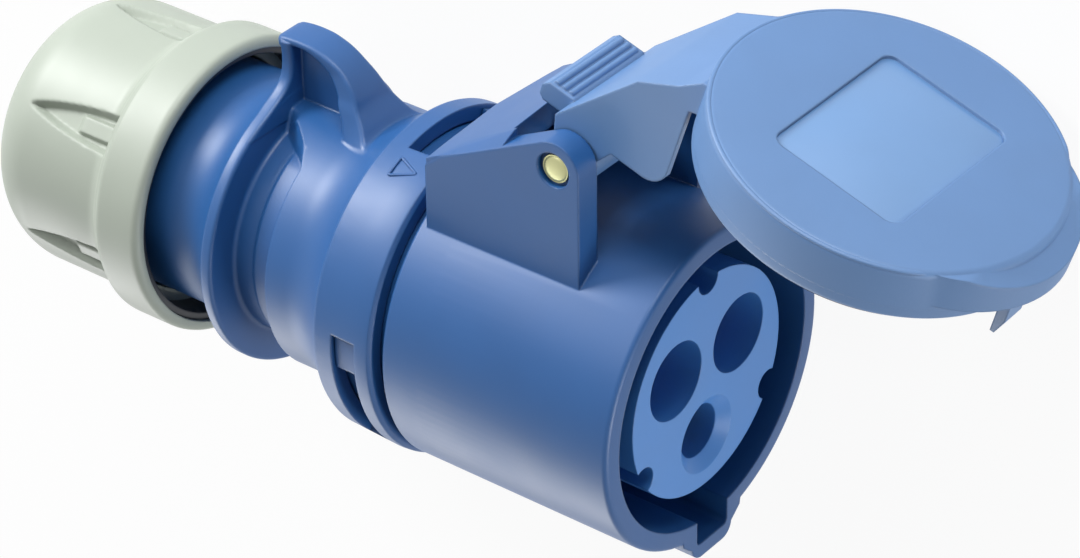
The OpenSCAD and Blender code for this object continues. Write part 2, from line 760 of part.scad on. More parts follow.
module arm_hollow() {
    skirt_x = lid_face - lid_depth;
    inside = pin[0] - 6.8;
    polygon([[pin[0] + 3, pin[1] + 2.9], [skirt_x - 2.7, pin[1] - 7.7], [skirt_x + 0.2, lid_r + 0.3],
             [skirt_x, lid_r + 0.3], [skirt_x, lid_r / 2], [inside, lid_r / 2], [inside, pin[1] + 2.9]]);
}

module thumb_bar() {
    x0 = pin[0] + 2.3;
    pitch = 1.35;
    slab(2 * bar_half) {
        polygon([[x0 + 0.2, pin_up + 4], [x0, pin_up + 6], [x0, pin_up + bar_up - 0.8],
                 [x0 + 0.8, pin_up + bar_up], [x0 + bar_t - 1, pin_up + bar_up],
                 [x0 + bar_t, pin_up + bar_up - 1], [x0 + bar_t, pin_up + 4.6],
                 [x0 + bar_t - 1, pin_up + 3.6]]);
    }
    slab(2 * bar_half - 1.2) for (i = [0:2])
        translate([x0 + bar_t, pin_up + 5.6 + i * pitch]) circle(r = 0.5, $fn = 24);
}

module lid() {
    color("cornflowerblue") placed() opened() difference() {
        union() {
            lid_disc();
            difference() {
                slab(2 * arm_half) arm_outline();
                slab(2 * (arm_half - arm_wall)) arm_hollow();
                rod(2 * pin[0], lid_face - lid_depth, sleeve_r + run);
                rod(lid_face - lid_depth, lid_face - lid_top, lid_r - lid_wall);
            }
            // knuckles on both sides of the spring, joined by the thumb bar
            difference() {
                for (s = [0, 1]) mirror([0, 0, s]) translate([pin[0], pin[1], spring_half])
                    cylinder(h = arm_half - spring_half, r = knuckle_r);
                translate([pin[0], pin[1], -20]) cylinder(h = 40, r = pin_r + 0.05);
            }
            thumb_bar();
            // key that enters the keyway when the lid is shut
            slab(fin_w) polygon([
                [fin_root + 1, -lid_r + 0.1], [fin_root + 1, -lid_r + lid_wall],
                [fin_root - fin_len, -lid_r + lid_wall], [fin_root - fin_len, -lid_r + lid_wall - 0.7],
                [fin_root - fin_len + 3.4, -lid_r + 0.1]]);
        }
        translate([pin[0], pin[1], -20]) cylinder(h = 40, r = pin_r + 0.05);
        translate([pin[0], pin[1], -spring_half])
            cylinder(h = 2 * spring_half, r = knuckle_r + 0.2);
    }
}

module lid_gasket() {
    r = lid_r - lid_wall - 0.1;
    color("black") placed() opened() tube(gasket_clear, lid_face - lid_top, r, r - gasket_w);
}

module hinge_pin() {
    color("lightgray") placed() translate([pin[0], pin[1], -pin_len / 2]) cylinder(h = pin_len, r = pin_r);
}

// Torsion spring: a close helix with two legs, swept along its own path
module lid_spring() {
    wire = 0.9;
    coil_r = pin_r + wire / 2 + 0.5;
    turns = 6;
    steps = 12;
    pitch = wire + 0.25;
    half = turns * pitch / 2;
    path = concat([[pin[0] - 10.5, pin[1] - coil_r - 8, -half], [pin[0] - 2, pin[1] - coil_r - 0.9, -half]],
                  [for (i = [0:turns * steps]) let (a = -90 + 360 * i / steps)
                      [pin[0] + coil_r * cos(a), pin[1] + coil_r * sin(a), -half + pitch * i / steps]],
                  [[pin[0] - 9, pin[1] - coil_r, half]]);
    color("silver") placed() sweep(path, wire / 2, 8);
}

// A round wire along a list of points
module sweep(path, r, sides) {
    n = len(path);
    function dir(i) = let (d = path[min(i + 1, n - 1)] - path[max(i - 1, 0)]) d / norm(d);
    rings = [for (i = [0:n - 1])
        let (t = dir(i), u0 = cross([0, 0, 1], t), u = u0 / norm(u0), v = cross(t, u))
        for (k = [0:sides - 1]) path[i] + r * (cos(360 * k / sides) * u + sin(360 * k / sides) * v)];
    faces = concat(
        [[for (k = [0:sides - 1]) k]],
        [for (i = [0:n - 2]) for (k = [0:sides - 1]) let (a = i * sides, b = (k + 1) % sides)
            [a + k, a + sides + k, a + sides + b, a + b]],
        [[for (k = [sides - 1:-1:0]) (n - 1) * sides + k]]);
    polyhedron(rings, faces);
}

front_housing();
spigot();
contact_carrier();
earth_carrier();
carrier_base();
retainer_plate();
plate_screws();
line_contact();
neutral_contact();
earth_contact();
contact_springs();
terminal_screws();
hinge_pin();
lid_spring();
housing_seal();
lid();
lid_gasket();
rear_housing();
clamp_collet();
cable_seal();
gland_nut();
nut_liner();
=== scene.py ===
"""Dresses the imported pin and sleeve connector: its moulded details, materials, floor, lamps and camera."""

import json
import math

import bmesh
import bpy
import numpy as np
from mathutils import Matrix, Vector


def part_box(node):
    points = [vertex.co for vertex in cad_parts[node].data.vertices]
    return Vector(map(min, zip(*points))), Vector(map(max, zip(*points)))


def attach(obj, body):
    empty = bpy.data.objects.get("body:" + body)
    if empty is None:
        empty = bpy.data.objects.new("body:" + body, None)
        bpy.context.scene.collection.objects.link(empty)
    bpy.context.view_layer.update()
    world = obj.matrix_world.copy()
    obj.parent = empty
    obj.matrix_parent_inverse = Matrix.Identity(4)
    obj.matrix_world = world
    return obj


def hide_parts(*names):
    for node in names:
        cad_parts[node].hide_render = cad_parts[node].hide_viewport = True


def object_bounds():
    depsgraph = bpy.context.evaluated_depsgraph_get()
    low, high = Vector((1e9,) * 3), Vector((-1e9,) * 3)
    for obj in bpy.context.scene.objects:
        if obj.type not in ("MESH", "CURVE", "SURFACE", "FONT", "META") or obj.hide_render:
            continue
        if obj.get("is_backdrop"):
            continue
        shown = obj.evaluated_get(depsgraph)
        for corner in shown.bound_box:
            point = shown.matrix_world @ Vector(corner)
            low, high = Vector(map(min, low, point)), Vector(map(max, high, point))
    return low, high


bl_info = {
    "name": "Pin and Sleeve Connector",
    "version": (1, 0, 0),
    "blender": (4, 5, 0),
    "location": "3D View > Sidebar > Connector",
    "description": "Builds the moulded details, materials and stage of a pin and sleeve connector",
    "category": "Object",
}

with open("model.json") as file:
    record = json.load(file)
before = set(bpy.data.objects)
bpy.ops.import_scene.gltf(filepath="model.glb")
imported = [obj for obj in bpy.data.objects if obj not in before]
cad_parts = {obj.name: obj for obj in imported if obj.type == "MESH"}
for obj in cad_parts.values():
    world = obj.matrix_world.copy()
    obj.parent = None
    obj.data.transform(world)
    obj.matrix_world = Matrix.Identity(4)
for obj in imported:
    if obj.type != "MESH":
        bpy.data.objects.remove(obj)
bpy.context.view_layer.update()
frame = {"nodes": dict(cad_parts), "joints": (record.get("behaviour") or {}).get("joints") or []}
NODES = frame["nodes"]
JOINTS = {joint["name"]: joint for joint in frame["joints"]}

MM = 0.001
RIM = 1.35                  # the sleeve's rim stands this far in front of the contacts' face, in mm
PIN = [value / MM for value in JOINTS["lid_hinge"]["pos_m"]]
LID_OPEN = -JOINTS["lid_hinge"]["range_deg"][0]
COLLAR_REAR = 55.5          # the collar ends this far behind the rim, in mm
SHARP_NEW = 38              # edges steeper than this stay sharp on a new piece, in degrees
SHARP_COPY = 30             # and on a copy of a CAD node
FLOOR_GLOW = 0.92           # share of the floor's own white that the camera and the reflections see
TENT = 0.22                 # strength of the light from all round

# square soft boxes: name, place in metres, side in metres, power in watts
LAMPS = (
    ("soft box behind the nut", (-0.75, 0.68, 0.30), 0.38, 10.5),
    ("soft box overhead", (0.15, 0.95, 0.10), 0.45, 6.6),
    ("soft box over the side", (-0.30, 0.60, 0.70), 0.4, 1.3),
    ("soft box below", (-0.55, -0.75, 0.25), 0.6, 4.1),
    ("soft box at the front", (0.93, -0.32, 0.12), 0.3, 4.6),
)
LAMPS_LOOK_AT = (-0.05, 0.0, 0.0)


def linear(code):
    """An sRGB hex colour as linear red, green and blue."""
    parts = [int(code[i:i + 2], 16) / 255 for i in (1, 3, 5)]
    return tuple(p / 12.92 if p <= 0.04045 else ((p + 0.055) / 1.055) ** 2.4 for p in parts)


# ---------------------------------------------------------------- settings

def length(name, about, default):
    """A length in millimetres that the panel shows."""
    return bpy.props.FloatProperty(name=name, description=about, default=default, min=0.0, soft_max=200.0,
                                   precision=2)


def tint(name, about, code):
    """A colour that the panel shows."""
    return bpy.props.FloatVectorProperty(name=name, description=about, default=linear(code), size=3,
                                         subtype="COLOR", min=0.0, max=1.0)


class ConnectorSizes(bpy.types.PropertyGroup):
    nut_body: length("Nut body radius", "Radius of the fluted body of the gland nut, in mm", 22.9)
    nut_dome: length("Nut dome radius", "Radius of the rounding at the nut's rear, in mm", 10.6)
    nut_hole: length("Cable hole radius", "Radius of the hole in the nut's rear, in mm", 8.6)
    nut_skirt: length("Nut skirt length", "Length of the smooth skirt at the nut's mouth, in mm", 9.4)
    flute_width: length("Flute width", "Width of each flute where it meets the skirt, in mm", 6.6)
    flute_depth: length("Flute depth", "Depth of each flute below the nut's body, in mm", 1.6)
    flute_turn: bpy.props.FloatProperty(name="Flute angle", description="Angle of the first flute",
                                        default=math.radians(51.6), subtype="ANGLE", unit="ROTATION")
    barrel: length("Barrel radius", "Radius of the rear housing's barrel, in mm", 22.4)
    barrel_edge: length("Barrel edge", "Distance from the rim to the barrel's rear edge, in mm", 70.6)
    groove: length("Groove radius", "Radius of the grip groove's floor, in mm", 19.2)
    flange: length("Flange radius", "Radius of the flange behind the grip groove, in mm", 24.85)
    flange_at: length("Flange place", "Distance from the rim to the flange's front face, in mm", 79.3)
    flange_wide: length("Flange width", "Thickness of the flange, in mm", 2.3)
    hook_half: length("Hook half width", "Half the width of the thumb hook at its tip, in mm", 3.1)
    panel_w: length("Panel width", "Width of the lid's panel, along the hinge pin, in mm", 29.2)
    panel_h: length("Panel height", "Height of the lid's panel, in mm", 21.8)
    panel_floor: length("Panel place", "Height of the panel's floor above the contacts' face, in mm", 11.65)
    mark_line: length("Mark line width", "Width of the raised line on the collar, in mm", 0.5)
    floor_size: length("Floor size", "Side of the floor, in mm", 6000.0)


class ConnectorColours(bpy.types.PropertyGroup):
    housing: tint("Housing", "Blue polyamide of the two housings", "#20528b")
    lid: tint("Lid", "Blue polyamide of the lid", "#4c74a5")
    # the panel's tint is lighter than the lid's: painted sheen of the polished panel
    panel: tint("Panel", "Blue polyamide of the lid where the mould is polished", "#5f88b8")
    insert: tint("Insert", "Blue polyamide of the contact carrier", "#4483cb")
    nut: tint("Nut", "Pale grey-green polyamide of the gland nut", "#9ba398")
    dark: tint("Dark plastic", "Dark polyamide of the liner and the collet", "#26292e")
    rubber: tint("Rubber", "Black rubber of the seals", "#141517")
    brass: tint("Brass", "Brass of the contacts", "#c8a862")
    steel: tint("Steel", "Zinc-plated steel of screws and springs", "#bcc0c6")
    pin: tint("Pin", "Pale nickel brass of the hinge pin", "#b9b98c")
    floor: tint("Floor", "Pale floor", "#f4f5f6")


# ---------------------------------------------------------------- mesh helpers

def object_of(name, points, faces, smooth=True):
    """A mesh object from points in millimetres in the frame's axes, smooth except across edges over SHARP_NEW."""
    mesh = bpy.data.meshes.new(name)
    mesh.from_pydata((np.asarray(points, float) * MM).tolist(), [], [list(map(int, f)) for f in faces])
    mesh.validate()
    mesh.update()
    thing = bpy.data.objects.new(name, mesh)
    bpy.context.scene.collection.objects.link(thing)
    if smooth:
        mesh.shade_smooth()
        mesh.set_sharp_from_angle(angle=math.radians(SHARP_NEW))
    return thing


def grid_faces(rows, columns, wrap_rows=False, wrap_columns=False):
    """Quads that join a grid of rows x columns points stored row by row, closed on itself where asked."""
    i = np.arange(rows if wrap_rows else rows - 1)[:, None]
    j = np.arange(columns if wrap_columns else columns - 1)[None, :]
    i2, j2 = (i + 1) % rows, (j + 1) % columns
    return np.stack([i * columns + j, i * columns + j2, i2 * columns + j2, i2 * columns + j], -1).reshape(-1, 4)


def resample(points, count, closed=False):
    """The polyline's points spread evenly along its length: x and y are read off at equal steps of arc length."""
    line = np.asarray(points, float)
    if closed:
        line = np.vstack([line, line[:1]])
    run = np.r_[0, np.cumsum(np.linalg.norm(np.diff(line, axis=0), axis=1))]
    steps = np.linspace(0, run[-1], count, endpoint=not closed)
    return np.stack([np.interp(steps, run, line[:, k]) for k in range(line.shape[1])], 1)


def arc(centre, radius, start, end, count=12):
    """Points centre + radius (cos a, sin a) for a from start to end, in degrees."""
    a = np.radians(np.linspace(start, end, count))
    return np.stack([centre[0] + radius * np.cos(a), centre[1] + radius * np.sin(a)], 1)


def step_up(value, low, high):
    """The smooth step 3t^2 - 2t^3 with t from 0 at low to 1 at high."""
    t = np.clip((value - low) / (high - low), 0, 1)
    return t * t * (3 - 2 * t)


def bead(name, path, normals, half_width, height, sides=10):
    """A half-round raised line: at each point of a closed path, a half ellipse spanned by the surface's
    normal (height) and the direction across the path (half width), closed underneath."""
    path, normals = np.asarray(path, float), np.asarray(normals, float)
    along = np.roll(path, -1, 0) - np.roll(path, 1, 0)
    across = np.cross(along, normals)
    across /= np.linalg.norm(across, axis=1)[:, None]
    a = np.linspace(0, 2 * np.pi, sides, endpoint=False)
    rise = np.where(np.sin(a) > 0, np.sin(a) * height, np.sin(a) * 0.15)
    points = (path[:, None] + across[:, None] * (half_width * np.cos(a))[None, :, None]
              + normals[:, None] * rise[None, :, None]).reshape(-1, 3)
    thing = object_of(name, points, grid_faces(len(path), sides, True, True))
    outwards(thing)
    return thing


def joined(*parts):
    """Several (points, faces) pairs as one pair."""
    points, faces, start = [], [], 0
    for part_points, part_faces in parts:
        points.append(np.asarray(part_points, float).reshape(-1, 3))
        faces += [[start + int(k) for k in face] for face in part_faces]
        start += len(points[-1])
    return np.vstack(points), faces


def capped(rows, columns):
    """Faces of a tube of rows x columns points, closed by a flat face at either end."""
    side = grid_faces(rows, columns, False, True).tolist()
    return side + [list(range(columns))[::-1], list(range((rows - 1) * columns, rows * columns))]


def curve(points, count):
    """A smooth line through points: Catmull-Rom spans, read off at equal steps."""
    line = np.asarray(points, float)
    line = np.vstack([2 * line[0] - line[1], line, 2 * line[-1] - line[-2]])
    spans = len(line) - 3
    where = np.linspace(0, spans, count)
    i = np.minimum(where.astype(int), spans - 1)
    t = (where - i)[:, None]
    a, b, c, d = line[i], line[i + 1], line[i + 2], line[i + 3]
    return 0.5 * (2 * b + (c - a) * t + (2 * a - 5 * b + 4 * c - d) * t ** 2 + (3 * b - a - 3 * c + d) * t ** 3)


def rounded_box(half_a, half_b, corner, steps=6):
    """The outline of a rectangle of half sides half_a and half_b with round corners."""
    outline = []
    for k, (sa, sb) in enumerate(((1, 1), (-1, 1), (-1, -1), (1, -1))):
        outline.append(arc((sa * (half_a - corner), sb * (half_b - corner)), corner, 90 * k, 90 * k + 90, steps))
    return np.vstack(outline)


def outwards(thing):
    """Turns the faces of a closed mesh outwards."""
    work = bmesh.new()
    work.from_mesh(thing.data)
    bmesh.ops.recalc_face_normals(work, faces=work.faces)
    work.to_mesh(thing.data)
    work.free()


def opened(points, degrees=LID_OPEN):
    """Points turned about the hinge pin by an angle in degrees: as it comes, from the closed lid to where the lid
    stands. The opposite angle closes it."""
    points = np.asarray(points, float)
    a = math.radians(degrees)
    x, y = points[:, 0] - PIN[0], points[:, 1] - PIN[1]
    return np.stack([PIN[0] + x * math.cos(a) - y * math.sin(a), PIN[1] + x * math.sin(a) + y * math.cos(a),
                     points[:, 2]], 1)


# ---------------------------------------------------------------- materials

def add(tree, kind, settings=None, inputs=None):
    """Adds one node: settings are its attributes, and inputs are values or the sockets that feed it."""
    made = tree.nodes.new(kind)
    for key, value in (settings or {}).items():
        setattr(made, key, value)
    for key, value in (inputs or {}).items():
        if isinstance(value, bpy.types.NodeSocket):
            tree.links.new(value, made.inputs[key])
        else:
            made.inputs[key].default_value = value
    return made


def camera_or_glossy(tree):
    """1 for the rays that the camera and the reflections send out, and 0 for the light that falls on things."""
    rays = add(tree, "ShaderNodeLightPath")
    return add(tree, "ShaderNodeMath", {"operation": "MAXIMUM"},
               {0: rays.outputs["Is Camera Ray"], 1: rays.outputs["Is Glossy Ray"]}).outputs[0]


def new_material(name):
    """An empty node material and its tree."""
    material = bpy.data.materials.new(name)
    material.use_nodes = True
    material.node_tree.nodes.clear()
    return material, material.node_tree


def moulded_polyamide(name, colour, grain=0.35, grain_height=0.01, roughness=0.42, edge=0.5, mottle=0.06,
                      shine=0.5):
    """Injection-moulded polyamide: an even satin skin with the fine grain of the spark-eroded mould, soft
    edges, and faint cloudy flow marks a few millimetres wide. Sizes are in millimetres."""
    material, tree = new_material(name)
    place = add(tree, "ShaderNodeTexCoord").outputs["Object"]
    # flow marks, about 12 mm wide
    cloud = add(tree, "ShaderNodeTexNoise", None,
                {"Vector": place, "Scale": 1000 / 12, "Detail": 2.0, "Roughness": 0.5})
    darker = tuple(c * (1 - mottle) for c in colour) + (1.0,)
    lighter = tuple(min(1.0, c * (1 + mottle)) for c in colour) + (1.0,)
    shade = add(tree, "ShaderNodeMix", {"data_type": "RGBA"},
                {0: cloud.outputs["Fac"], 6: darker, 7: lighter})
    # rubbed places are a little glossier
    rub = add(tree, "ShaderNodeTexNoise", None, {"Vector": place, "Scale": 1000 / 25, "Detail": 4.0})
    gloss = add(tree, "ShaderNodeMapRange", None,
                {"Value": rub.outputs["Fac"], "From Min": 0.3, "From Max": 0.7, "To Min": roughness - 0.05,
                 "To Max": roughness + 0.06})
    # the mould's grain, drawn at the size that still shows
    grit = add(tree, "ShaderNodeTexNoise", None,
               {"Vector": place, "Scale": 1000 / grain, "Detail": 2.0, "Roughness": 0.6})
    soft = add(tree, "ShaderNodeBevel", {"samples": 6}, {"Radius": edge * MM})
    bump = add(tree, "ShaderNodeBump", None,
               {"Height": grit.outputs["Fac"], "Strength": 0.35, "Distance": grain_height * MM,
                "Normal": soft.outputs["Normal"]})
    skin = add(tree, "ShaderNodeBsdfPrincipled", None,
               {"Base Color": shade.outputs[2], "Roughness": gloss.outputs["Result"], "IOR": 1.53,
                "Specular IOR Level": shine, "Normal": bump.outputs["Normal"]})
    add(tree, "ShaderNodeOutputMaterial", None, {"Surface": skin.outputs["BSDF"]})
    return material


def moulded_rubber(name, colour):
    """Moulded rubber: dull, with a faint bloom in patches of about 3 mm and a dusty micro grain."""
    material, tree = new_material(name)
    place = add(tree, "ShaderNodeTexCoord").outputs["Object"]
    bloom = add(tree, "ShaderNodeTexNoise", None, {"Vector": place, "Scale": 1000 / 3, "Detail": 5.0})
    pale = tuple(c + 0.02 for c in colour) + (1.0,)
    shade = add(tree, "ShaderNodeMix", {"data_type": "RGBA"},
                {0: bloom.outputs["Fac"], 6: tuple(colour) + (1.0,), 7: pale})
    grit = add(tree, "ShaderNodeTexNoise", None, {"Vector": place, "Scale": 1000 / 0.25, "Detail": 2.0})
    bump = add(tree, "ShaderNodeBump", None, {"Height": grit.outputs["Fac"], "Strength": 0.4,
                                              "Distance": 0.02 * MM})
    skin = add(tree, "ShaderNodeBsdfPrincipled", None,
               {"Base Color": shade.outputs[2], "Roughness": 0.68, "IOR": 1.52, "Normal": bump.outputs["Normal"]})
    add(tree, "ShaderNodeOutputMaterial", None, {"Surface": skin.outputs["BSDF"]})
    return material


def turned_metal(name, colour, roughness=0.28, tool_mm=0.18, axis=0):
    """Turned metal: rings left by the tool every fraction of a millimetre along the turning axis, and a
    light tarnish in patches."""
    material, tree = new_material(name)
    place = add(tree, "ShaderNodeTexCoord").outputs["Object"]
    tarnish = add(tree, "ShaderNodeTexNoise", None, {"Vector": place, "Scale": 1000 / 4, "Detail": 4.0})
    shade = add(tree, "ShaderNodeMix", {"data_type": "RGBA"},
                {0: tarnish.outputs["Fac"], 6: tuple(c * 0.88 for c in colour) + (1.0,),
                 7: tuple(colour) + (1.0,)})
    rings = add(tree, "ShaderNodeTexWave", {"wave_type": "BANDS", "bands_direction": "XYZ"[axis]},
                {"Vector": place, "Scale": 1 / (tool_mm * MM) / 6.28, "Distortion": 0.6, "Detail": 2.0})
    soft = add(tree, "ShaderNodeBevel", {"samples": 4}, {"Radius": 0.15 * MM})
    bump = add(tree, "ShaderNodeBump", None, {"Height": rings.outputs["Fac"], "Strength": 0.25,
                                              "Distance": 0.01 * MM, "Normal": soft.outputs["Normal"]})
    skin = add(tree, "ShaderNodeBsdfPrincipled", None,
               {"Base Color": shade.outputs[2], "Metallic": 1.0, "Roughness": roughness,
                "Normal": bump.outputs["Normal"]})
    add(tree, "ShaderNodeOutputMaterial", None, {"Surface": skin.outputs["BSDF"]})
    return material


def dress(node, material):
    """Gives a CAD node its material in every slot."""
    thing = NODES[node]
    if not thing.material_slots:
        thing.data.materials.append(material)
    for place in thing.material_slots:
        place.material = material


def cover(thing, material, body):
    """Gives a new piece its material and the body that it rides on."""
    thing.data.materials.append(material)
    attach(thing, body)


# ---------------------------------------------------------------- operators

class CONNECTOR_OT_finishes(bpy.types.Operator):
    """Make the materials and give them to the CAD nodes"""
    bl_idname = "connector.finishes"
    bl_label = "Finishes"

    def execute(self, context):
        tints = context.scene.connector_colours
        # PA 6 of the housings: satin, with a grain just felt by the finger
        housing = moulded_polyamide("PA6 moulded, blue housing", tints.housing)
        # the lid's mould is eroded more coarsely, so the lid looks drier
        lid = moulded_polyamide("PA6 moulded, blue lid, eroded grain", tints.lid, grain=0.6, grain_height=0.03,
                                roughness=0.5, edge=0.5, shine=0.9)
        # the panel in the lid is left as the mould's polished insert makes it; its tint is lighter than the lid's,
        # a painted sheen
        moulded_polyamide("PA6 moulded, blue lid, polished panel with painted sheen", tints.panel, grain=0.3, grain_height=0.005,
                          roughness=0.36, edge=0.2, shine=1.0)
        # the carrier comes from a polished mould
        insert = moulded_polyamide("PA6 moulded, blue insert", tints.insert, grain=0.3, grain_height=0.006,
                                   roughness=0.36, edge=0.3)
        moulded_polyamide("PA6 moulded, pale gland nut", tints.nut, grain=0.4, grain_height=0.008, roughness=0.45,
                          edge=0.5, mottle=0.02)
        dark = moulded_polyamide("PA6 moulded, dark", tints.dark, roughness=0.4)
        rubber = moulded_rubber("EPDM moulded seal", tints.rubber)
        brass = turned_metal("Brass CuZn39Pb3 turned", tints.brass)
        steel = turned_metal("Steel zinc-plated", tints.steel, roughness=0.35)
        pin = turned_metal("Nickel brass pin, turned", tints.pin, roughness=0.42, axis=2)
        plan = {
            housing: ["front_housing", "spigot", "rear_housing"], lid: ["lid"],
            insert: ["contact_carrier", "earth_carrier", "carrier_base"],
            dark: ["nut_liner", "clamp_collet", "retainer_plate"],
            rubber: ["housing_seal", "lid_gasket", "cable_seal"],
            brass: ["line_contact", "neutral_contact", "earth_contact"],
            steel: ["plate_screws", "terminal_screws", "contact_springs", "lid_spring"], pin: ["hinge_pin"],
        }
        for material, nodes in plan.items():
            for node in nodes:
                dress(node, material)
        return {"FINISHED"}


def copy_of(name, *nodes):
    """A merged copy of one CAD node, or of several that touch face to face, made one by a Boolean union."""
    copies = []
    for node in nodes:
        mesh = NODES[node].data.copy()
        mesh.transform(NODES[node].matrix_world)
        mesh.materials.clear()
        if "custom_normal" in mesh.attributes:
            mesh.attributes.remove(mesh.attributes["custom_normal"])
        work = bmesh.new()
        work.from_mesh(mesh)
        bmesh.ops.remove_doubles(work, verts=work.verts, dist=1e-6)
        work.to_mesh(mesh)
        work.free()
        copies.append(bpy.data.objects.new(name + "_" + node, mesh))
        bpy.context.scene.collection.objects.link(copies[-1])
    first = copies[0]
    for other in copies[1:]:
        union = first.modifiers.new("union", "BOOLEAN")
        union.operation, union.solver, union.object = "UNION", "EXACT", other
    mesh = bpy.data.meshes.new_from_object(first.evaluated_get(bpy.context.evaluated_depsgraph_get()))
    mesh.name = name
    for each in copies:
        bpy.data.objects.remove(each)
    mesh.shade_smooth()
    mesh.set_sharp_from_angle(angle=math.radians(SHARP_COPY))
    thing = bpy.data.objects.new(name, mesh)
    bpy.context.scene.collection.objects.link(thing)
    return thing


class CONNECTOR_OT_front_mouldings(bpy.types.Operator):
    """Make the front housing and the contact carrier, each as the one moulding that it is"""
    bl_idname = "connector.front_mouldings"
    bl_label = "Front mouldings"

    def execute(self, context):
        housing = copy_of("front_moulding", "front_housing", "spigot")
        cover(housing, bpy.data.materials["PA6 moulded, blue housing"], "connector_front")
        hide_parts("front_housing", "spigot")
        carrier = copy_of("carrier_moulding", "contact_carrier", "earth_carrier", "carrier_base")
        cover(carrier, bpy.data.materials["PA6 moulded, blue insert"], "connector_front")
        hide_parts("contact_carrier", "earth_carrier", "carrier_base")
        return {"FINISHED"}


class CONNECTOR_OT_gland_nut(bpy.types.Operator):
    """Make the gland nut with its soft flutes"""
    bl_idname = "connector.gland_nut"
    bl_label = "Gland nut"

    def execute(self, context):
        size = context.scene.connector_sizes
        low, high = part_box("gland_nut")
        back, mouth, skirt = low[0] / MM, high[0] / MM, high[2] / MM
        body, dome, hole = size.nut_body, size.nut_dome, size.nut_hole
        shoulder = mouth - size.nut_skirt
        outer = np.vstack([
            [(mouth, 23.6), (mouth, skirt - 1.3)], arc((mouth - 1.3, skirt - 1.3), 1.3, 0, 90, 8),
            [(shoulder + 1.1, skirt)], arc((shoulder + 1.1, skirt - 0.7), 0.7, 90, 150, 6),
            arc((shoulder - 3.4, body + 3.4), 3.4, -35, -90, 10),
            arc((back + dome, body - dome), dome, 90, 180, 24), [(back, hole + 0.8)],
            arc((back + 0.8, hole + 0.8), 0.8, 180, 270, 6)])
        inner = np.array([
            (back + 6, hole), (back + 6, hole + 2.6), (back + 21, 19.0), (back + 23.4, 20.3), (mouth - 7, 20.3),
            (mouth - 7, 23.5), (mouth - 0.1, 23.5)])
        count = 130
        outside = resample(outer, count)
        profile = np.vstack([outside, resample(inner, 40)])
        turns = 500
        angle = np.linspace(0, 2 * np.pi, turns, endpoint=False)
        x = np.repeat(profile[:, :1], turns, 1)
        r = np.repeat(profile[:, 1:], turns, 1)
        # distance round the body to the middle of the nearest flute
        sector = np.pi / 3
        off = (angle - size.flute_turn + sector / 2) % sector - sector / 2
        across = np.abs(np.sin(off))[None, :] * body
        tip, root = back + dome - 1, shoulder - 0.4
        along = np.clip((x - tip) / (root - tip), 0, 1)
        half = size.flute_width / 2 * np.sin(along * np.pi / 2) ** 0.75
        depth = size.flute_depth
        trough = step_up(half - across, -0.15, 0.75) * (x < root) * (x > tip)
        flat = (body - depth) / np.cos(off)[None, :]
        rib_half = size.flute_width * 0.27
        rib = step_up(rib_half - across, -0.1, 0.5) * step_up(x, root - 9.0, root - 7.6) * (x < root)
        floor = flat + rib * depth * 0.6
        outer_side = (np.arange(len(profile)) < count)[:, None] & (x < shoulder + 0.2)
        r = np.where(outer_side, np.minimum(r, r + (floor - r) * trough), r)
        points = np.stack([x, r * np.cos(angle)[None, :], r * np.sin(angle)[None, :]], -1).reshape(-1, 3)
        nut = object_of("gland_nut_shell", points, grid_faces(len(profile), turns, True, True))
        outwards(nut)
        cover(nut, bpy.data.materials["PA6 moulded, pale gland nut"], "gland_group")
        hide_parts("gland_nut")
        return {"FINISHED"}


def barrel_edge_shift(degrees):
    """How far the barrel's rear edge runs back towards the flange near the hook: 0.109 (35 - a)^1.4 mm at a
    degrees from the hook's middle, up to 35 degrees."""
    return 0.109 * np.clip(35 - np.abs(degrees), 0, None) ** 1.4


